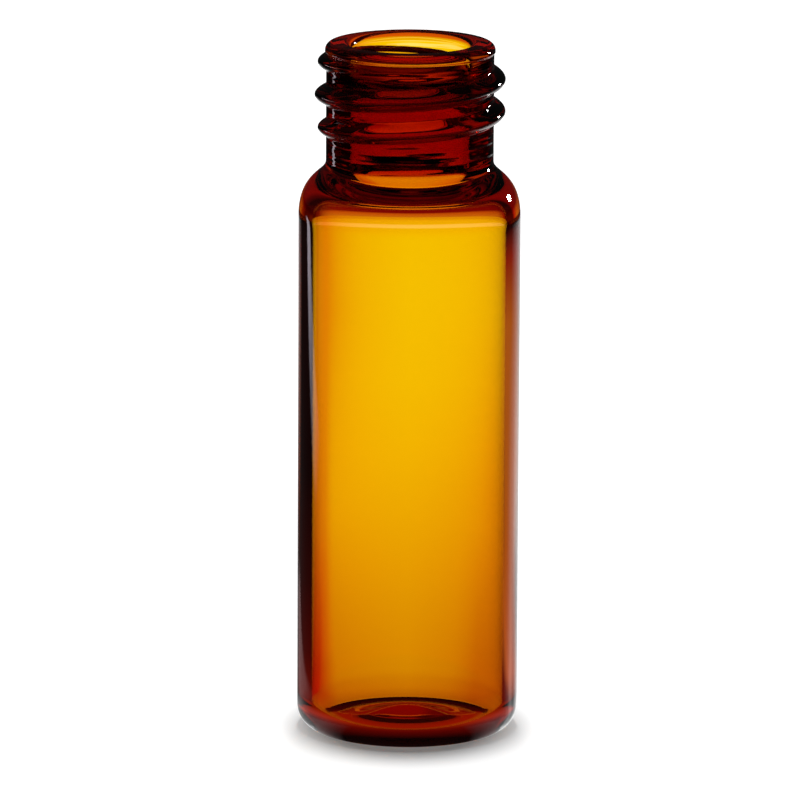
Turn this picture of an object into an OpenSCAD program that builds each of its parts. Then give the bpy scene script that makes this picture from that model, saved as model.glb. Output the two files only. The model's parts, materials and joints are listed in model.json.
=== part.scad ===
// Screw-neck sample vial, formed from one piece of amber glass.
// Millimetres. The origin is the centre of the base, and Z points up through the mouth.

/* [Body] */
// Outside diameter of the straight body
body_d = 14.6; // [13:0.1:28]
// Overall height, from the standing ring to the rim
vial_h = 46; // [30:0.2:90]
// Thickness of the side wall
wall_t = 0.95; // [0.7:0.05:2]

/* [Base] */
// Thickness of the floor where it meets the inside corner
floor_t = 0.5; // [0.4:0.05:2]
// Rise of the floor's middle, where the end of the tube closed up
floor_rise = 0.9; // [0.3:0.05:1.5]
// Radius of the rounded heel, outside
heel_r = 1.5; // [0.3:0.05:1.8]
// Radius of the corner between the wall and the floor, inside
corner_r = 1.8; // [0.8:0.05:2.5]
// Width of the flat standing ring
ring_w = 0.8; // [0.5:0.1:3]
// Rise of the dished centre of the base above the ring
dish_h = 0.15; // [0.1:0.05:0.35]

/* [Shoulder] */
// Height of the shoulder, from the straight body up to the neck
shoulder_h = 3.8; // [3.2:0.1:7]
// How far down the shoulder its full roundness reaches
shoulder_swell = 3; // [1.5:0.1:3.2]
// Reach of the sweep that carries the shoulder up into the neck
neck_sweep = 1; // [0.3:0.1:1.6]
// How far the narrow bore runs on below the foot of the neck
bore_drop = 1.6; // [0.5:0.1:2.2]
// Reach of the sweep that opens the bore out into the chamber
bore_sweep = 0.5; // [0.3:0.1:1.2]

/* [Neck] */
// Height of the neck, from the shoulder up to the rim
neck_h = 7.8; // [7:0.1:14]
// Outside diameter of the neck between the turns of the thread
neck_d = 11; // [10:0.1:12.8]
// Thickness of the neck's wall
neck_wall = 1.6; // [0.9:0.05:2.4]
// How far the rim stands out beyond the neck
rim_out = 0.08; // [0:0.02:0.2]
// Height of the rim's band
rim_h = 0.6; // [0.5:0.05:0.8]
// Radius of the rim's melted edges, as far as the neck's wall leaves room for them
rim_round = 0.5; // [0.2:0.05:0.5]

/* [Thread] */
// Distance from one turn of the ridge to the next
pitch = 2.117; // [1.8:0.01:2.6]
// Height of the ridge above the neck
ridge_h = 0.75; // [0.4:0.05:1.2]
// Width of the ridge at its foot
ridge_w = 1.4; // [1:0.05:1.75]
// Turns from one end of the ridge to the other
turns = 2.35; // [1:0.05:2.6]
// Depth below the rim of the ridge's upper end, at its middle
ridge_top = 0.95; // [0.8:0.05:1.4]
// Angle over which each end of the ridge fades into the neck
fade_angle = 100; // [40:5:150]
// Direction in which the ridge's upper end points
end_angle = 244; // [0:1:360]

/* [Hidden] */
$fn = 96;

body_r = body_d / 2;
chamber_r = body_r - wall_t;
neck_r = neck_d / 2;
mouth_r = neck_r - neck_wall;
// Some of the rim stays flat between its two edges
rim_edge = min(rim_round, 0.4 * neck_wall);
shoulder_z = vial_h - neck_h - shoulder_h;
sweep_z = vial_h - neck_h;
// The chamber's roof springs from its wall a little lower than the shoulder does outside
roof_drop = 0.35;
arc_steps = 8;
curve_steps = 14;

// The ridge is drawn with its foot sunk into the neck, so that the two are one body of glass
foot_sink = 0.05;
foot_root = 0.35;
// Width of the ridge's tips, as a share of its full width
tip_w = 0.4;
ridge_steps = 8;
steps_per_turn = 48;

// Points of an arc about a centre, from one angle to another
function arc(centre, r, from, to) =
    [for (i = [0 : arc_steps])
        let (a = from + (to - from) * i / arc_steps)
        centre + r * [cos(a), sin(a)]];

// Points of a cubic curve through its four handles
function curve(a, b, c, d) =
    [for (i = [0 : curve_steps])
        let (t = i / curve_steps, u = 1 - t)
        u * u * u * a + 3 * u * u * t * b + 3 * u * t * t * c + t * t * t * d];

// A low dome that stands rise above z at the axis and fades out between two radii
function dome(z, rise, from_r, to_r) =
    let (full_r = max(from_r, to_r))
    [for (i = [0 : arc_steps])
        let (r = from_r + (to_r - from_r) * i / arc_steps)
        [r, z + rise * (1 + cos(180 * r / full_r)) / 2]];

// Half of the vial's section, from the axis out round the base and back down the inside
ring_r = body_r - heel_r - ring_w;
floor_r = chamber_r - corner_r;
section = concat(
    dome(0, dish_h, 0, ring_r),
    arc([body_r - heel_r, heel_r], heel_r, -90, 0),
    curve([body_r, shoulder_z], [body_r, shoulder_z + shoulder_swell],
          [neck_r, sweep_z - neck_sweep], [neck_r, sweep_z]),
    [[neck_r, vial_h - rim_h - rim_out]],
    [[neck_r + rim_out, vial_h - rim_h]],
    arc([neck_r + rim_out - rim_edge, vial_h - rim_edge], rim_edge, 0, 90),
    arc([mouth_r + rim_edge, vial_h - rim_edge], rim_edge, 90, 180),
    curve([mouth_r, sweep_z - bore_drop], [mouth_r, sweep_z - bore_drop - bore_sweep],
          [chamber_r, shoulder_z - roof_drop + shoulder_swell], [chamber_r, shoulder_z - roof_drop]),
    arc([floor_r, floor_t + corner_r], corner_r, 0, -90),
    dome(floor_t, floor_rise, floor_r, 0)
);

module wall() {
    rotate_extrude() polygon(section);
}

// One cross-section of the ridge, at a share of the way from its lower end to its upper end
function ridge_section(share) =
    let (
        angle = end_angle - 360 * turns * (1 - share),
        z = vial_h - ridge_top - pitch * turns * (1 - share),
        from_end = 360 * turns * min(share, 1 - share),
        fade = (1 - cos(180 * min(1, from_end / fade_angle))) / 2,
        half_w = ridge_w / 2 * (tip_w + (1 - tip_w) * fade)
    )
    [for (i = [-1 : ridge_steps + 1])
        let (
            s = -cos(180 * min(max(i, 0), ridge_steps) / ridge_steps),
            buried = i < 0 || i > ridge_steps,
            hump = (1 - s * s) * fade,
            r = buried ? neck_r - foot_root : neck_r - foot_sink + (ridge_h + foot_sink) * hump
        )
        [r * cos(angle), r * sin(angle), z + s * half_w]];

module thread() {
    sections = ceil(turns * steps_per_turn);
    n = ridge_steps + 3;
    points = [for (k = [0 : sections]) each ridge_section(k / sections)];
    sides = [for (k = [0 : sections - 1], i = [0 : n - 1])
        let (a = k * n + i, b = k * n + (i + 1) % n)
        each [[a, b, a + n], [b, b + n, a + n]]];
    first = [for (i = [0 : n - 1]) n - 1 - i];
    last = [for (i = [0 : n - 1]) sections * n + i];
    polyhedron(points, concat(sides, [first, last]));
}

module vial() {
    color([0.75, 0.42, 0.05, 0.8])
        union() {
            wall();
            thread();
        }
}

vial();
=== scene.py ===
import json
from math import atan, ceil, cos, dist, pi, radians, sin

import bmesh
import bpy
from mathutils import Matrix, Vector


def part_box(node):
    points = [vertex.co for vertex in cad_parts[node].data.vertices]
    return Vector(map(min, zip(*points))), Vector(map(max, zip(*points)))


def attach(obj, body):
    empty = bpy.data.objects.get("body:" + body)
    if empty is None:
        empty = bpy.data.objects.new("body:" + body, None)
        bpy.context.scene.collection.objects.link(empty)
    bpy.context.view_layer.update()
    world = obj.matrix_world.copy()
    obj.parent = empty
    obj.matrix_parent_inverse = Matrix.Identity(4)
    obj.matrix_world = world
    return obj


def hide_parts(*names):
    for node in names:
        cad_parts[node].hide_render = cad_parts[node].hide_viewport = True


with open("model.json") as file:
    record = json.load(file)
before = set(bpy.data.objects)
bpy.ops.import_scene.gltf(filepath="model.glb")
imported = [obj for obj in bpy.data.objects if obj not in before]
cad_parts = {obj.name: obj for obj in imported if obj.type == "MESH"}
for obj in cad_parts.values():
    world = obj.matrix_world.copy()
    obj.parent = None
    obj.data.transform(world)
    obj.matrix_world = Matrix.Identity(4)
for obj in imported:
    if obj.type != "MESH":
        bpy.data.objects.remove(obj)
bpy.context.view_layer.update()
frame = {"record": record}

# %% [markdown]
# # A sample vial of amber glass
# The real vial is one piece of glass. It starts as a drawn tube. One end is closed in the flame
# and sinks into a floor, and the other is softened, drawn in to a neck and rolled between wheels
# that press the screw thread up. There is nothing else: no cap, no liner and nothing inside.
# So this lesson has one mesh, one glass and a small studio, and most of the look comes from the
# way light runs through the wall. A window pane could be faked with a thin see-through surface,
# but a vial can't: its dark sides and its red floor are made inside the wall. That is why the
# mesh is closed, has its true thickness everywhere, and takes its colour from the depth of the
# glass.

# %% [markdown]
# ## Sizes
# The vial's height, the radius of its body and the radius of its mouth are read from the frame.
# The other sizes repeat the ones that drive the solid, with the same names, so that each can be
# compared with its twin. All of them are true sizes: the wall is less than a millimetre thick.

# %% Sizes, in metres
MM = 0.001
mounts = {mount["name"]: mount for mount in frame["record"]["mounts"]}

vial_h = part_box("vial")[1][2]
body_r = mounts["body"]["dims"]["r_mm"] * MM
mouth_r = mounts["mouth"]["dims"]["r_mm"] * MM
wall_t = 0.95 * MM
neck_wall = 1.6 * MM
chamber_r = body_r - wall_t
neck_r = mouth_r + neck_wall

floor_t = 0.5 * MM
floor_rise = 0.9 * MM
heel_r = 1.5 * MM
corner_r = 1.8 * MM
ring_w = 0.8 * MM
dish_h = 0.15 * MM

shoulder_h = 3.8 * MM
shoulder_swell = 3.0 * MM
neck_h = 7.8 * MM
neck_sweep = 1.0 * MM
bore_drop = 1.6 * MM
bore_sweep = 0.5 * MM
roof_drop = 0.35 * MM
sweep_z = vial_h - neck_h
shoulder_z = sweep_z - shoulder_h

rim_out = 0.08 * MM
rim_h = 0.6 * MM
rim_edge = 0.5 * MM
print("body", round(2000 * body_r, 1), "x", round(1000 * vial_h, 1), "mm, neck", round(2000 * neck_r, 1))

# %% [markdown]
# ## Half of the section
# A tube worked in a flame is round, so half of its section says everything about it but the
# thread. The line runs from the axis out along the underside, up the outside, over the rim, down
# the bore and back to the axis along the inside of the floor. Flat stretches need few points.
# Curved glass needs many, because each small facet of a lens would show as a step in what is
# seen through it. The neck's points lie close together too, because the thread is raised on them.

# %% Arcs, curves, lines and domes as lists of (radius, height)
def arc(centre, r, start, end, steps):
    angles = [radians(start + (end - start) * i / steps) for i in range(steps + 1)]
    return [(centre[0] + r * cos(a), centre[1] + r * sin(a)) for a in angles]


def curve(a, b, c, d, steps):
    # a cubic curve through its first and last handle, drawn towards the other two
    points = []
    for i in range(steps + 1):
        t = i / steps
        u = 1 - t
        weights = (u ** 3, 3 * u * u * t, 3 * u * t * t, t ** 3)
        handles = (a, b, c, d)
        points.append(tuple(sum(w * h[k] for w, h in zip(weights, handles)) for k in (0, 1)))
    return points


def line(a, b, steps):
    # a curve whose handles lie evenly on a straight line
    return curve(a, ((2 * a[0] + b[0]) / 3, (2 * a[1] + b[1]) / 3),
                 ((a[0] + 2 * b[0]) / 3, (a[1] + 2 * b[1]) / 3), b, steps)


def dome(z, rise, start_r, end_r, steps):
    # stands rise above z at the axis and fades out at its rim
    full_r = max(start_r, end_r)
    radii = [start_r + (end_r - start_r) * i / steps for i in range(steps + 1)]
    return [(r, z + rise * (1 + cos(pi * r / full_r)) / 2) for r in radii]


quarter = arc((0, 0), 1, 0, 90, 2)
print("a quarter circle in two steps:", [(round(r, 2), round(z, 2)) for r, z in quarter])

# %% The section, from the axis round to the axis
SAME_POINT = 0.0001 * MM
ring_r = body_r - heel_r - ring_w
floor_r = chamber_r - corner_r
rim_foot = vial_h - rim_h
bore_foot = sweep_z - bore_drop
roof_z = shoulder_z - roof_drop

stretches = [
    dome(0, dish_h, 0, ring_r, 16),
    line((ring_r, 0), (body_r - heel_r, 0), 2),
    arc((body_r - heel_r, heel_r), heel_r, -90, 0, 16),
    line((body_r, heel_r), (body_r, shoulder_z), 3),
    curve((body_r, shoulder_z), (body_r, shoulder_z + shoulder_swell),
          (neck_r, sweep_z - neck_sweep), (neck_r, sweep_z), 36),
    line((neck_r, sweep_z), (neck_r, rim_foot - rim_out), 120),
    line((neck_r, rim_foot - rim_out), (neck_r + rim_out, rim_foot), 3),
    arc((neck_r + rim_out - rim_edge, vial_h - rim_edge), rim_edge, 0, 90, 14),
    arc((mouth_r + rim_edge, vial_h - rim_edge), rim_edge, 90, 180, 14),
    line((mouth_r, vial_h - rim_edge), (mouth_r, bore_foot), 2),
    curve((mouth_r, bore_foot), (mouth_r, bore_foot - bore_sweep),
          (chamber_r, roof_z + shoulder_swell), (chamber_r, roof_z), 40),
    line((chamber_r, roof_z), (chamber_r, floor_t + corner_r), 3),
    arc((floor_r, floor_t + corner_r), corner_r, 0, -90, 20),
    dome(floor_t, floor_rise, floor_r, 0, 36),
]
section = []
for stretch in stretches:
    for point in stretch:
        if not section or dist(section[-1], point) > SAME_POINT:
            section.append(point)
print("section points:", len(section))

# %% [markdown]
# ## The thread
# The ridge isn't stuck on: the wheels squeeze it out of the neck's own glass, so here too it is
# a swelling of the neck's surface and not a second piece. At every direction and height the
# neck is asked how far the ridge stands out. The ridge is a low hump that climbs one pitch a
# turn, and both ends sink back into the neck over about a third of a turn.

# %% How far the ridge stands out at a direction and a height
pitch = 2.117 * MM
ridge_h = 0.75 * MM
ridge_w = 1.4 * MM
turns = 2.35
ridge_top = 0.95 * MM
fade_angle = 100
end_angle = 244
tip_w = 0.4
start_angle = end_angle - 360 * turns


def ridge(angle, z):
    height = 0.0
    for lap in range(ceil(turns) + 1):
        along = angle - start_angle - 360 * lap
        share = along / (360 * turns)
        if 0 <= share <= 1:
            middle_z = vial_h - ridge_top - pitch * turns * (1 - share)
            from_end = 360 * turns * min(share, 1 - share)
            fade = (1 - cos(pi * min(1, from_end / fade_angle))) / 2
            half_w = ridge_w / 2 * (tip_w + (1 - tip_w) * fade)
            off_middle = (z - middle_z) / half_w
            if abs(off_middle) < 1:
                height = max(height, ridge_h * fade * (1 - off_middle * off_middle))
    return height


print("thread over the ridge, mm:", round(2000 * (neck_r + ridge_h), 2))

# %% [markdown]
# ## One closed skin of glass
# The section is swept round the axis in narrow columns, and the neck's rows swell out where the
# ridge passes. A screw modifier could turn the section too, but it couldn't raise the thread.
# The mesh must be closed and its faces must all look outwards, because the renderer takes each
# one as the way into the glass or out of it. Its volume is worked out and printed below; it
# should agree with the solid's.

# %% Sweep the section into rings of points and faces
COLUMNS = 288
ON_THE_LINE = 0.001 * MM


def sweep(section):
    verts = []
    faces = []
    rows = []
    for r, z in section:
        on_axis = r < ON_THE_LINE
        on_neck = abs(r - neck_r) < ON_THE_LINE and sweep_z <= z < rim_foot
        rows.append((len(verts), on_axis))
        for k in range(1 if on_axis else COLUMNS):
            angle = 360 * k / COLUMNS
            reach = r + (ridge(angle, z) if on_neck else 0)
            verts.append((reach * cos(radians(angle)), reach * sin(radians(angle)), z))
    for (row, row_closed), (above, above_closed) in zip(rows, rows[1:]):
        for k in range(COLUMNS):
            nxt = (k + 1) % COLUMNS
            if row_closed:
                faces.append((row, above + nxt, above + k))
            elif above_closed:
                faces.append((row + k, row + nxt, above))
            else:
                faces.append((row + k, row + nxt, above + nxt, above + k))
    return verts, faces


verts, faces = sweep(section)
print("points:", len(verts), " faces:", len(faces))

# %% Make the mesh, turn its faces outwards and weigh it
GLASS_DENSITY = 2500.0

mesh = bpy.data.meshes.new("glass_vial")
mesh.from_pydata(verts, [], faces)
work = bmesh.new()
work.from_mesh(mesh)
bmesh.ops.recalc_face_normals(work, faces=work.faces)
volume = work.calc_volume()
work.to_mesh(mesh)
work.free()
mesh.polygons.foreach_set("use_smooth", [True] * len(mesh.polygons))
mesh.update()

vial = bpy.data.objects.new("glass_vial", mesh)
bpy.context.scene.collection.objects.link(vial)
print("glass, mm3:", round(volume / MM ** 3, 1), " mass, g:", round(volume * GLASS_DENSITY * 1000, 2))

# %% [markdown]
# ## Small helpers for the materials
# A material is a net of nodes, and the next cells wire many of them. Short functions keep that
# readable. `feed` gives a socket a fixed value or what another node puts out. `sums` does a sum,
# `length` measures a vector and `degrees_right` an angle. `stops` turns a number into a colour
# along a row of stops, `times` and `plus` join two colours, and `choose` goes from one to the
# other. `shine` is a plain glow, and `blend` goes from one shader to another.

# %% Helpers that measure
def feed(tree, socket, value):
    if isinstance(value, bpy.types.NodeSocket):
        tree.links.new(value, socket)
    else:
        socket.default_value = value


def sums(tree, operation, a, b=None):
    node = tree.nodes.new("ShaderNodeMath")
    node.operation = operation
    feed(tree, node.inputs[0], a)
    if b is not None:
        feed(tree, node.inputs[1], b)
    return node.outputs[0]


def length(tree, vector):
    node = tree.nodes.new("ShaderNodeVectorMath")
    node.operation = "LENGTH"
    feed(tree, node.inputs[0], vector)
    return node.outputs["Value"]


def degrees_right(tree, across, back):
    # 0 is straight back and 90 is to the right
    return sums(tree, "DEGREES", sums(tree, "ARCTAN2", across, back))


print("measuring helpers: feed, sums, length, degrees_right")

# %% Helpers that colour
WHITE = (1.0, 1.0, 1.0)
BLACK = (0.0, 0.0, 0.0)
# where a Mix node keeps its two colours and its result
MIX_FROM = 6
MIX_TO = 7
MIXED = 2


def grey(level):
    return (level, level, level)


def stops(tree, value, places):
    # places are pairs of a value and its colour, from the lowest value to the highest
    start, end = places[0][0], places[-1][0]
    spread = tree.nodes.new("ShaderNodeMapRange")
    spread.inputs["From Min"].default_value = start
    spread.inputs["From Max"].default_value = end
    feed(tree, spread.inputs["Value"], value)
    node = tree.nodes.new("ShaderNodeValToRGB")
    marks = node.color_ramp.elements
    marks[0].position = 0.0
    marks[0].color = (*places[0][1], 1)
    marks[1].position = 1.0
    marks[1].color = (*places[-1][1], 1)
    for place, colour in places[1:-1]:
        mark = marks.new((place - start) / (end - start))
        mark.color = (*colour, 1)
    feed(tree, node.inputs["Fac"], spread.outputs["Result"])
    return node.outputs["Color"]


def times(tree, a, b):
    node = tree.nodes.new("ShaderNodeVectorMath")
    node.operation = "MULTIPLY"
    feed(tree, node.inputs[0], a)
    feed(tree, node.inputs[1], b)
    return node.outputs[0]


def plus(tree, a, b, share=1.0):
    # a and a share of b
    node = tree.nodes.new("ShaderNodeVectorMath")
    node.operation = "MULTIPLY_ADD"
    feed(tree, node.inputs[0], b)
    feed(tree, node.inputs[1], grey(share))
    feed(tree, node.inputs[2], a)
    return node.outputs[0]


def choose(tree, share, if_not, if_so):
    node = tree.nodes.new("ShaderNodeMix")
    node.data_type = "RGBA"
    feed(tree, node.inputs[0], share)
    feed(tree, node.inputs[MIX_FROM], if_not)
    feed(tree, node.inputs[MIX_TO], if_so)
    return node.outputs[MIXED]


print("middle grey:", grey(0.5))

# %% Helpers that glow and blend
def shine(tree, colour, strength):
    node = tree.nodes.new("ShaderNodeEmission")
    feed(tree, node.inputs["Color"], colour)
    feed(tree, node.inputs["Strength"], strength)
    return node.outputs[0]


def blend(tree, share, if_not, if_so):
    node = tree.nodes.new("ShaderNodeMixShader")
    feed(tree, node.inputs[0], share)
    feed(tree, node.inputs[1], if_not)
    feed(tree, node.inputs[2], if_so)
    return node.outputs[0]


print("shader helpers: shine, blend")

# %% [markdown]
# ## The amber glass
# Amber glass is coloured all through, so the colour belongs to the depth and not to the skin:
# the surface is clear and the volume absorbs. Blue goes within a millimetre or two, green over
# several millimetres and red hardly at all. A thin wall is therefore yellow, two walls are
# orange, and light that has travelled a long way inside the wall comes out deep red. A coloured
# surface would be quicker, but it would give thick and thin glass the same colour.

# %% A clear surface and a coloured depth
GLASS_IOR = 1.51
DEEP = (0.994, 0.90, 0.6)
DEEP_DENSITY = 3200.0

glass = bpy.data.materials.new("amber_glass")
glass.use_nodes = True
glass_tree = glass.node_tree
skin = glass_tree.nodes["Principled BSDF"]
skin.inputs["Transmission Weight"].default_value = 1.0
skin.inputs["Roughness"].default_value = 0.0
skin.inputs["IOR"].default_value = GLASS_IOR

depth = glass_tree.nodes.new("ShaderNodeVolumeAbsorption")
depth.inputs["Color"].default_value = (*DEEP, 1)
depth.inputs["Density"].default_value = DEEP_DENSITY
glass_tree.links.new(depth.outputs[0], glass_tree.nodes["Material Output"].inputs["Volume"])
for name, kept in zip(("red", "green", "blue"), DEEP):
    print(name, "fades to about a third in", round(1000 / ((1 - kept) * DEEP_DENSITY), 1), "mm of glass")

# %% [markdown]
# ## The darker neck
# The neck is dark, because its thread bends most rays that pass it away from the bright table.
# Part of that darkness is the dim room seen through it, and part is painted shade: one body of
# glass has one depth, whose colour stays the same all over, so the neck's skin is tinted and
# filters the light that passes it once more. The painted shade follows the height. It starts at
# the shoulder, is darkest in a band near the top of the thread, leaves a clear belt under the rim
# that lights the mouth, and darkens the rim's top again.

# %% A painted shade that follows the height
# painted shade: tints for the neck's skin, darkest where the thread lets the least light through
PAINTED_SHADE_FAINT = (0.95, 0.80, 0.6)
PAINTED_SHADE_DEEP = (0.50, 0.035, 0.02)
PAINTED_SHADE_DARKEST = (0.08, 0.003, 0.0)

on_vial = glass_tree.nodes.new("ShaderNodeTexCoord").outputs["Object"]
vial_axes = glass_tree.nodes.new("ShaderNodeSeparateXYZ")
feed(glass_tree, vial_axes.inputs[0], on_vial)
up = vial_axes.outputs["Z"]
# the painted shade by height; its last stop darkens the top of the rim
PAINTED_NECK_SHADE = [
    (shoulder_z - 0.2 * MM, WHITE),
    (shoulder_z + 1.0 * MM, PAINTED_SHADE_FAINT),
    (sweep_z - 0.8 * MM, PAINTED_SHADE_FAINT),
    (sweep_z, PAINTED_SHADE_DEEP),
    (vial_h - 3.4 * MM, PAINTED_SHADE_DEEP),
    (vial_h - 2.7 * MM, PAINTED_SHADE_DARKEST),
    (vial_h - 1.9 * MM, PAINTED_SHADE_DARKEST),
    (vial_h - 1.65 * MM, WHITE),
    (vial_h - 0.45 * MM, WHITE),
    (vial_h - 0.25 * MM, PAINTED_SHADE_DEEP),
]
feed(glass_tree, skin.inputs["Base Color"], stops(glass_tree, up, PAINTED_NECK_SHADE))
print("the tint starts", round(PAINTED_NECK_SHADE[0][0] / MM, 2), "mm up")

# %% [markdown]
# ## The ripple of the neck
# The wheels drag the soft glass along as they turn, which leaves faint ripples round the neck.
# They are far too shallow to change the outline, so a bump is enough: a noise that is squeezed
# in height, so that its blots become long lines round the neck. It fades out at the shoulder and
# at the rim, which the flame melts smooth.

# %% Lines round the neck
RIPPLE = 0.06 * MM
RIPPLE_SCALE = (180, 180, 1800)

noise = glass_tree.nodes.new("ShaderNodeTexNoise")
noise.inputs["Scale"].default_value = 1.0
noise.inputs["Detail"].default_value = 1.0
feed(glass_tree, noise.inputs["Vector"], times(glass_tree, on_vial, RIPPLE_SCALE))
on_neck = stops(glass_tree, up, [
    (sweep_z - 1.5 * MM, BLACK),
    (sweep_z, WHITE),
    (vial_h - 1.2 * MM, WHITE),
    (vial_h - 0.7 * MM, BLACK),
])
bump = glass_tree.nodes.new("ShaderNodeBump")
bump.inputs["Distance"].default_value = RIPPLE
feed(glass_tree, bump.inputs["Strength"], on_neck)
feed(glass_tree, bump.inputs["Height"], noise.outputs["Fac"])
feed(glass_tree, skin.inputs["Normal"], bump.outputs["Normal"])
print("ripple, mm deep:", round(RIPPLE / MM, 2))

# %% [markdown]
# ## The vial takes its place
# The mesh now stands for the plain solid of the vial and rides on the part's one body, root. Its
# glass gets a plain name as a slot, under which another glass can be put in later.

# %% Hand the vial over
mesh.materials.append(glass)
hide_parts("vial")
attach(vial, "root")
print("dressed:", vial.name)

# %% [markdown]
# ## The table
# Glass has almost no look of its own: it shows what stands round it, so it is lit by arranging
# what it can see. Here that is mostly the table, a large flat sheet, which does three jobs at
# once. The camera sees a white sheet with a soft shadow on it. Reflections see a dark surface
# with a few pale cards. Light that comes through the glass sees a sheet that warms towards the
# vial. Real cards and coloured sheets could lie there instead, but the camera would see them too.

# %% The table
TABLE_SIZE = 6.0
GAP = 0.02 * MM

half = TABLE_SIZE / 2
corners = [(-half, -half, -GAP), (half, -half, -GAP), (half, half, -GAP), (-half, half, -GAP)]
table_mesh = bpy.data.meshes.new("table")
table_mesh.from_pydata(corners, [], [(0, 1, 2, 3)])
table = bpy.data.objects.new("table", table_mesh)
bpy.context.scene.collection.objects.link(table)
print("table:", TABLE_SIZE, "m square")

# %% Where a point of the sheet lies: how far from the vial, and in which direction
sheet = bpy.data.materials.new("white_sheet")
sheet.use_nodes = True
table_mesh.materials.append(sheet)
sheet_tree = sheet.node_tree
sheet_tree.nodes.clear()

spot = sheet_tree.nodes.new("ShaderNodeNewGeometry").outputs["Position"]
spot_axes = sheet_tree.nodes.new("ShaderNodeSeparateXYZ")
feed(sheet_tree, spot_axes.inputs[0], spot)
across = spot_axes.outputs["X"]
back = spot_axes.outputs["Y"]
away = length(sheet_tree, spot)
# 0 degrees is straight behind the vial, and 90 is to its right
bearing = degrees_right(sheet_tree, across, back)
print("nodes in the sheet so far:", len(sheet_tree.nodes))

# %% [markdown]
# ## Light that comes straight through
# The foot of the body looks at the table close behind it, the middle looks farther off and the
# top looks about half a metre away. Rings of colour round the vial therefore become a slow change of
# colour up the body, from orange at the foot to yellow at the shoulder. There is no blue in
# them, because hardly any blue gets through two walls. One ring is nearly white: the mouth looks
# down on it, and gets its pale yellow from it.

# %% Rings of colour, by distance in metres
# the innermost dark red rings are a painted shadow of the vial on the table, and the orange ones a
# painted pool of the amber light that it lets through
RINGS = [
    (0.000, (0.25, 0.01, 0.0)),
    (0.006, (0.25, 0.01, 0.0)),
    (0.0075, (0.60, 0.32, 0.0)),
    (0.013, (0.70, 0.44, 0.0)),
    (0.030, (0.79, 0.54, 0.0)),
    (0.046, (0.87, 0.64, 0.0)),
    (0.065, (0.93, 0.76, 0.0)),
    (0.085, (0.98, 0.87, 0.0)),
    (0.110, (1.0, 0.96, 0.0)),
    (0.150, (1.0, 1.0, 0.0)),
    (0.242, (1.0, 1.0, 0.0)),
    (0.252, (1.2, 1.25, 1.0)),
    (0.280, (1.2, 1.25, 1.0)),
    (0.290, (1.0, 1.0, 0.0)),
    (0.360, (1.0, 0.95, 0.0)),
    (0.600, (0.85, 0.70, 0.0)),
]
rings = stops(sheet_tree, away, RINGS)
print("rings:", len(RINGS), "out to", RINGS[-1][0], "m")

# %% [markdown]
# ## The fan
# From side to side, the hollow body spreads the rays into a fan that seems to start a little in
# front of it. A shade for each direction of the fan therefore colours the body from its left
# side to its right side, where real glass gets soft streaks from whatever stands behind it. The
# shades change with the distance, so there are three rows of them: near, halfway and far off.
# In the near row a red mark on the left makes the red band low on the left of the body.

# %% Where in the fan a point lies, in degrees
FAN_START = 0.028
fan = degrees_right(sheet_tree, across, sums(sheet_tree, "ADD", back, FAN_START))
print("the fan starts", round(FAN_START / MM), "mm in front of the axis")

# %% Three rows of shades across the fan
FAN_NEAR = [
    (-23, (0.85, 0.55, 0.3)),
    (-20.5, (0.80, 0.04, 0.01)),
    (-19, (0.80, 0.02, 0.01)),
    (-14, (0.80, 0.035, 0.01)),
    (-11, (0.84, 0.42, 0.2)),
    (-9, (0.92, 0.80, 0.6)),
    (0, WHITE),
    (5, (0.93, 0.82, 0.6)),
    (8.5, (0.80, 0.50, 0.3)),
    (24, (0.80, 0.48, 0.3)),
]
FAN_MID = [
    (-24, (0.92, 0.65, 0.4)),
    (-20, (0.80, 0.40, 0.2)),
    (-12, (0.90, 0.63, 0.4)),
    (-9.5, (1.0, 0.97, 0.9)),
    (0, WHITE),
    (4, (0.98, 0.92, 0.8)),
    (12, (0.96, 0.73, 0.5)),
    (24, (0.92, 0.62, 0.4)),
]
FAN_FAR = [
    (-24, (0.95, 0.80, 0.6)),
    (-20, (0.80, 0.45, 0.3)),
    (-18, (0.88, 0.58, 0.35)),
    (-12, (0.90, 0.50, 0.35)),
    (-8, (0.93, 0.70, 0.5)),
    (-4, (0.97, 0.88, 0.8)),
    (0, WHITE),
    (22, (1.0, 0.97, 0.9)),
    (27, (0.95, 0.75, 0.5)),
    (32, (0.95, 0.80, 0.6)),
]
fan_near, fan_mid, fan_far = [stops(sheet_tree, fan, row) for row in (FAN_NEAR, FAN_MID, FAN_FAR)]
print("shades in the three rows:", len(FAN_NEAR), len(FAN_MID), len(FAN_FAR))

# %% The rows joined, kept behind the vial and laid over the rings
to_mid = stops(sheet_tree, away, [(0.012, BLACK), (0.060, WHITE)])
to_far = stops(sheet_tree, away, [(0.070, BLACK), (0.140, WHITE)])
shades = choose(sheet_tree, to_far, choose(sheet_tree, to_mid, fan_near, fan_mid), fan_far)

inside_fan = stops(sheet_tree, sums(sheet_tree, "ABSOLUTE", fan), [(25, WHITE), (32, BLACK)])
behind = stops(sheet_tree, back, [(0.0, BLACK), (0.006, WHITE)])
shades = choose(sheet_tree, times(sheet_tree, inside_fan, behind), (*WHITE, 1), shades)
straight = times(sheet_tree, rings, shades)
print("nodes in the sheet so far:", len(sheet_tree.nodes))

# %% [markdown]
# ## Light that was turned round inside the wall
# At the body's two sides light can't get straight through. It strikes the inside of the wall,
# runs round in it and comes out somewhere else, which is why such a vial has dark edges. A ray's
# glossy depth counts those turns, so turned light can be told from straight light. It gets a
# darker sheet of its own: red near the foot, and with a warm patch behind on the right, which
# shows as a thin warm line inside the edge.

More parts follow.
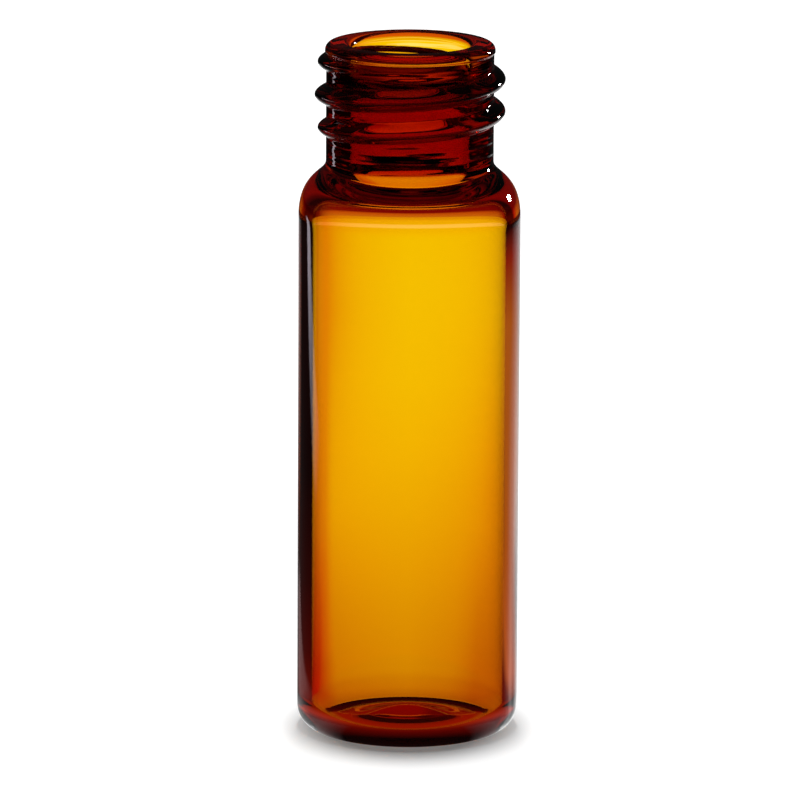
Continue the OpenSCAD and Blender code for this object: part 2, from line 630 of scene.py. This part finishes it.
# %% What turned light finds near the foot
TURNED_NEAR = [
    (0.0054, BLACK),
    (0.0062, (0.10, 0.002, 0.0)),
    (0.0072, (0.32, 0.03, 0.0)),
    (0.012, (0.12, 0.006, 0.002)),
    (0.025, (0.05, 0.002, 0.001)),
    (0.045, (0.02, 0.001, 0.001)),
    (0.080, (0.005, 0.0, 0.0)),
]
turned_near = stops(sheet_tree, away, TURNED_NEAR)
print("red from", TURNED_NEAR[0][0] / MM, "to", TURNED_NEAR[-1][0] / MM, "mm")

# %% What it finds behind on the right
patch_far = stops(sheet_tree, bearing, [
    (-3, BLACK),
    (3, (0.6, 0.4, 0.2)),
    (12, (0.40, 0.20, 0.1)),
    (50, (0.38, 0.18, 0.1)),
    (60, BLACK),
])
patch_near = stops(sheet_tree, bearing, [
    (18, BLACK),
    (26, (0.38, 0.16, 0.1)),
    (55, (0.38, 0.16, 0.1)),
    (65, BLACK),
])
patch_share = stops(sheet_tree, away, [(0.040, BLACK), (0.080, WHITE)])
patch_reach = stops(sheet_tree, away, [
    (0.010, BLACK),
    (0.018, WHITE),
    (0.140, WHITE),
    (0.172, (0.6, 0.12, 0.0)),
    (0.190, (0.02, 0.0, 0.0)),
])
patch = times(sheet_tree, choose(sheet_tree, patch_share, patch_near, patch_far), patch_reach)
print("nodes in the sheet so far:", len(sheet_tree.nodes))

# %% Straight light or turned light
light_path = sheet_tree.nodes.new("ShaderNodeLightPath")
is_turned = sums(sheet_tree, "GREATER_THAN", light_path.outputs["Glossy Depth"], 0.5)
through = choose(sheet_tree, is_turned, straight, plus(sheet_tree, turned_near, patch))
print("nodes in the sheet so far:", len(sheet_tree.nodes))

# %% [markdown]
# ## What the skin reflects
# A round body mirrors the table mostly in its two flanks, where it is seen edge on. Each flank
# gets its own pale area behind the vial, laid out by the direction from that flank. It shows as
# the grey sheen on the dark edges. In front of the vial the table stays nearly dark, so that
# nothing milky lies over the amber.

# %% The direction from each flank to a point of the table
FLANK_X = 0.93 * body_r
FLANK_Y = -0.34 * body_r
NEARLY_DARK = grey(0.01)


def heading_from(x, y):
    # degrees to the right of straight back, for a point of the table seen from (x, y)
    right_of_it = sums(sheet_tree, "SUBTRACT", across, x)
    behind_it = sums(sheet_tree, "SUBTRACT", back, y)
    return degrees_right(sheet_tree, right_of_it, behind_it)


from_right = heading_from(FLANK_X, FLANK_Y)
from_left = heading_from(-FLANK_X, FLANK_Y)
print("flanks:", round(FLANK_X / MM, 2), "mm to each side and", round(-FLANK_Y / MM, 2), "mm in front")

# %% The sheen of the right flank
right_far = stops(sheet_tree, from_right, [
    (-100, NEARLY_DARK), (-30, grey(0.75)), (19, grey(0.75)), (29, grey(0.48)),
    (38, grey(0.25)), (46, grey(0.03)), (100, NEARLY_DARK),
])
right_mid = stops(sheet_tree, from_right, [
    (-100, NEARLY_DARK), (-30, grey(0.8)), (20, grey(1.0)), (30, grey(1.05)),
    (36, grey(0.68)), (45, grey(0.42)), (51, grey(0.08)), (56, NEARLY_DARK),
])
right_near = stops(sheet_tree, from_right, [
    (-100, NEARLY_DARK), (-30, grey(0.9)), (17, grey(0.9)), (29, grey(0.27)), (33, grey(0.27)),
    (40, grey(0.68)), (43, grey(0.68)), (49, grey(0.25)), (60, grey(0.03)), (70, NEARLY_DARK),
])
right_sheen = choose(sheet_tree, to_mid, right_near, right_mid)
right_sheen = choose(sheet_tree, to_far, right_sheen, right_far)
print("nodes in the sheet so far:", len(sheet_tree.nodes))

# %% The sheen of the left flank, and the two together
SHEEN_END = 0.195

left_far = stops(sheet_tree, from_left, [
    (-30, grey(0.012)), (-26, grey(0.09)), (-21, grey(0.23)), (-15, grey(0.42)),
    (-9, grey(1.0)), (30, grey(1.0)), (100, NEARLY_DARK),
])
left_near = stops(sheet_tree, from_left, [
    (-60, NEARLY_DARK), (-21, grey(0.03)), (-15, grey(0.1)), (-9, grey(0.4)),
    (30, grey(0.6)), (100, NEARLY_DARK),
])
left_sheen = choose(sheet_tree, to_far, left_near, left_far)

on_right = sums(sheet_tree, "GREATER_THAN", across, 0.0)
sheen = choose(sheet_tree, on_right, left_sheen, right_sheen)
sheen = times(sheet_tree, sheen, stops(sheet_tree, away, [(0.182, WHITE), (SHEEN_END, grey(0.03))]))
print("the sheen ends", round(SHEEN_END / MM), "mm away")

# %% [markdown]
# ## Cards
# A bottle's edges are drawn by white cards laid beside it. Two straight ones lie here behind the
# vial on the left: a wide bright one for the long light line down the left flank, and a narrow
# dim one that carries the line on to the foot. A skirt of light to the left and right of the
# foot lights the heel.

# %% A straight card, and two of them
CARD_CORE = 0.35
CARD_FADE = 0.65
STRIP_COLOUR = [
    (0.020, BLACK), (0.032, (0.25, 0.22, 0.25)), (0.100, (1.0, 0.88, 1.0)),
    (0.150, (1.0, 0.88, 1.0)), (0.200, BLACK),
]
EDGE_COLOUR = [
    (0.000, BLACK), (0.006, (0.15, 0.1, 0.1)), (0.035, (0.15, 0.1, 0.1)), (0.045, BLACK),
]


def card(slant, offset, width, colours):
    # lies along the line x + slant * y + offset = 0, with its colours by y
    slanted = sums(sheet_tree, "ADD", across, sums(sheet_tree, "MULTIPLY", back, slant))
    beside = sums(sheet_tree, "ABSOLUTE", sums(sheet_tree, "ADD", slanted, offset))
    share = stops(sheet_tree, beside, [(CARD_CORE * width, WHITE), (CARD_FADE * width, BLACK)])
    return times(sheet_tree, share, stops(sheet_tree, back, colours))


strip = card(slant=0.725, offset=0.0676, width=0.026, colours=STRIP_COLOUR)
edge = card(slant=0.29, offset=0.0120, width=0.007, colours=EDGE_COLOUR)
print("nodes in the sheet so far:", len(sheet_tree.nodes))

# %% The skirt round the foot, and all that the skin reflects
STRIP_STRENGTH = 2.0
EDGE_STRENGTH = 2.0
SKIRT_STRENGTH = 0.5

round_foot = stops(sheet_tree, away, [(0.0100, WHITE), (0.0130, BLACK)])
both_sides = stops(sheet_tree, sums(sheet_tree, "ABSOLUTE", bearing), [
    (40, BLACK), (60, WHITE), (115, WHITE), (140, BLACK),
])
skirt = times(sheet_tree, round_foot, both_sides)

mirrored = plus(sheet_tree, sheen, strip, STRIP_STRENGTH)
mirrored = plus(sheet_tree, mirrored, edge, EDGE_STRENGTH)
mirrored = plus(sheet_tree, mirrored, skirt, SKIRT_STRENGTH)
print("nodes in the sheet so far:", len(sheet_tree.nodes))

# %% [markdown]
# ## The sheet as the camera sees it
# A lamp alone would have to be strong to make the sheet white, and its shadow would be hard and
# black. So the sheet glows white for the camera and takes only a little light from the lamp, for
# the shadow. Near the foot the glow dims in an oval: a painted shadow for the room's soft light,
# which the vial would keep off the table there. The lamp's real shadow lies over it.

# %% A white sheet with the lamp's soft shadow and a painted one
SHEET_COLOUR = (0.85, 0.85, 0.85, 1)
# the oval is narrower from side to side
OVAL = (1.3, 1.0, 0.0)
# painted shadow: the glow for the camera dims in this oval round the foot
GLOW_AND_PAINTED_SHADOW = [
    (0.0058, grey(0.18)),
    (0.0072, grey(0.16)),
    (0.0085, grey(0.34)),
    (0.0098, grey(0.56)),
    (0.0110, grey(0.72)),
    (0.0123, grey(0.79)),
    (0.0700, grey(1.00)),
]

shaded = sheet_tree.nodes.new("ShaderNodeBsdfDiffuse")
shaded.inputs["Color"].default_value = SHEET_COLOUR
glow_and_painted_shadow = stops(sheet_tree, length(sheet_tree, times(sheet_tree, spot, OVAL)), GLOW_AND_PAINTED_SHADOW)
seen = sheet_tree.nodes.new("ShaderNodeAddShader")
feed(sheet_tree, seen.inputs[0], shaded.outputs[0])
feed(sheet_tree, seen.inputs[1], shine(sheet_tree, glow_and_painted_shadow, light_path.outputs["Is Camera Ray"]))
print("the shade ends", round(GLOW_AND_PAINTED_SHADOW[-1][0] / MM), "mm from the vial's axis")

# %% [markdown]
# ## Three views in one sheet
# The light path says what kind of ray has arrived: one from the camera, one mirrored by the
# glass or one that came through it. Each gets its own view. The last two only count until a ray
# has been scattered by the sheet, so that the patterns don't light the table itself.

# %% Put the three views together
THROUGH_STRENGTH = 1.12

first_hand = sums(sheet_tree, "LESS_THAN", light_path.outputs["Diffuse Depth"], 0.5)
strength = sums(sheet_tree, "MULTIPLY", first_hand, THROUGH_STRENGTH)
surface = blend(sheet_tree, light_path.outputs["Is Glossy Ray"],
                seen.outputs[0], shine(sheet_tree, mirrored, first_hand))
surface = blend(sheet_tree, light_path.outputs["Is Transmission Ray"],
                surface, shine(sheet_tree, through, strength))
sheet_out = sheet_tree.nodes.new("ShaderNodeOutputMaterial")
feed(sheet_tree, sheet_out.inputs["Surface"], surface)
print("nodes in the sheet:", len(sheet_tree.nodes))

# %% [markdown]
# ## The room
# The camera sees white above the table, and mirrored rays see almost nothing. Light that comes
# through the glass from above the table comes from a dim red room, brighter just above the
# table, and dark to the left and right. Much of the neck is seen against it, which gives the
# neck its dark red middle and its black sides.

# %% Directions in the room
room = bpy.data.worlds.new("room")
bpy.context.scene.world = room
room.use_nodes = True
room_tree = room.node_tree
room_tree.nodes.clear()

sight = room_tree.nodes.new("ShaderNodeTexCoord").outputs["Generated"]
sight_axes = room_tree.nodes.new("ShaderNodeSeparateXYZ")
feed(room_tree, sight_axes.inputs[0], sight)
# a climb of 0 degrees is level, and compass 0 is straight behind the vial
climb = sums(room_tree, "DEGREES", sums(room_tree, "ARCSINE", sight_axes.outputs["Z"]))
compass = degrees_right(room_tree, sight_axes.outputs["X"], sight_axes.outputs["Y"])
print("nodes in the room so far:", len(room_tree.nodes))

# %% Its colours, by climb and by compass
by_climb = stops(room_tree, climb, [
    (0, (0.75, 0.40, 0.1)),
    (5, (0.70, 0.25, 0.05)),
    (9, (0.26, 0.006, 0.002)),
    (30, (0.24, 0.004, 0.001)),
    (50, (0.14, 0.006, 0.002)),
])
by_compass = stops(room_tree, compass, [
    (-60, (0.4, 0.15, 0.1)),
    (-38, (0.10, 0.02, 0.0)),
    (-28, (0.08, 0.01, 0.0)),
    (-18, (0.4, 0.1, 0.0)),
    (-9, WHITE),
    (16, WHITE),
    (26, (0.8, 0.1, 0.0)),
    (31, (0.08, 0.01, 0.0)),
    (45, (0.10, 0.02, 0.0)),
    (60, (0.4, 0.15, 0.1)),
])
# the compass stops counting towards the ceiling
steep = stops(room_tree, climb, [(40, BLACK), (60, WHITE)])
by_compass = choose(room_tree, steep, by_compass, (*WHITE, 1))
print("nodes in the room so far:", len(room_tree.nodes))

# %% The room as the glass, the mirrored rays and the camera see it
ROOM_WHITE = (1.0, 1.0, 1.0, 1)
ROOM_DARK = (0.01, 0.01, 0.01, 1)


def sky(colour):
    node = room_tree.nodes.new("ShaderNodeBackground")
    feed(room_tree, node.inputs["Color"], colour)
    return node.outputs[0]


room_path = room_tree.nodes.new("ShaderNodeLightPath")
unscattered = sums(room_tree, "LESS_THAN", room_path.outputs["Diffuse Depth"], 0.5)
came_through = sums(room_tree, "MULTIPLY", room_path.outputs["Is Transmission Ray"], unscattered)
view = blend(room_tree, came_through, sky(ROOM_DARK), sky(times(room_tree, by_climb, by_compass)))
view = blend(room_tree, room_path.outputs["Is Camera Ray"], view, sky(ROOM_WHITE))
room_out = room_tree.nodes.new("ShaderNodeOutputWorld")
feed(room_tree, room_out.inputs["Surface"], view)
print("nodes in the room:", len(room_tree.nodes))

# %% [markdown]
# ## The lamps
# One lamp hangs high above and a little behind the vial, and gives the shadow. It is a long
# oval that runs from front to back, so the shadow stays close to the foot and its edge is soft.
# A small one, low behind on the right, makes the white sparkles on the shoulder and the ridges.
# Each is hidden from the rays that the other is for: the glass would mirror the upper lamp in
# odd places, and the lower one would throw a second shadow.

# %% Lamps
def lamp(name, place, size, watts, sparkle):
    data = bpy.data.lights.new(name, "AREA")
    data.shape = "ELLIPSE"
    data.size = size[0]
    data.size_y = size[1]
    data.energy = watts
    holder = bpy.data.objects.new(name, data)
    bpy.context.scene.collection.objects.link(holder)
    holder.location = place
    aim = Vector((0, 0, vial_h / 2)) - Vector(place)
    holder.rotation_euler = aim.to_track_quat("-Z", "Y").to_euler()
    holder.visible_transmission = False
    holder.visible_glossy = sparkle
    holder.visible_diffuse = not sparkle
    print(name, "lamp:", watts, "W,", round(aim.length, 2), "m away")


lamp("overhead", place=(0.0, 0.03, 0.6), size=(0.03, 0.15), watts=1.3, sparkle=False)
lamp("back_right", place=(0.315, 0.315, 0.092), size=(0.06, 0.06), watts=0.9, sparkle=True)

# %% [markdown]
# ## The camera
# It stands half a metre off, a little above the vial. The ellipses of the rim and of the foot say
# how far above, and the difference between them says how near. The camera is turned, not
# shifted, to set the vial in its place in the frame.

# %% Camera
PICTURE = 800
CENTRE_PIXEL = (408.5, 386.4)
PIXELS_PER_M = 15166.0
SENSOR = 36.0
NEAREST = 0.01
FARTHEST = 20
distance = 0.53
elevation = radians(12.07)
roll = radians(0.30)

focal_px = PIXELS_PER_M * distance
cam_data = bpy.data.cameras.new("camera")
cam_data.sensor_width = SENSOR
cam_data.lens = focal_px / PICTURE * SENSOR
cam_data.clip_start = NEAREST
cam_data.clip_end = FARTHEST
cam = bpy.data.objects.new("camera", cam_data)
bpy.context.scene.collection.objects.link(cam)

centre = Vector((0, 0, vial_h / 2))
to_camera = Vector((0, -cos(elevation), sin(elevation)))
aim = (-to_camera).to_track_quat("-Z", "Y").to_matrix().to_4x4()
yaw = atan((CENTRE_PIXEL[0] - PICTURE / 2) / focal_px)
tilt = atan((CENTRE_PIXEL[1] - PICTURE / 2) / focal_px)
turn = Matrix.Rotation(yaw, 4, "Y") @ Matrix.Rotation(tilt, 4, "X") @ Matrix.Rotation(roll, 4, "Z")
cam.matrix_world = Matrix.Translation(centre + to_camera * distance) @ aim @ turn
bpy.context.scene.camera = cam
bpy.context.scene.view_settings.view_transform = "Standard"
print("lens:", round(cam_data.lens), "mm, from", distance, "m")
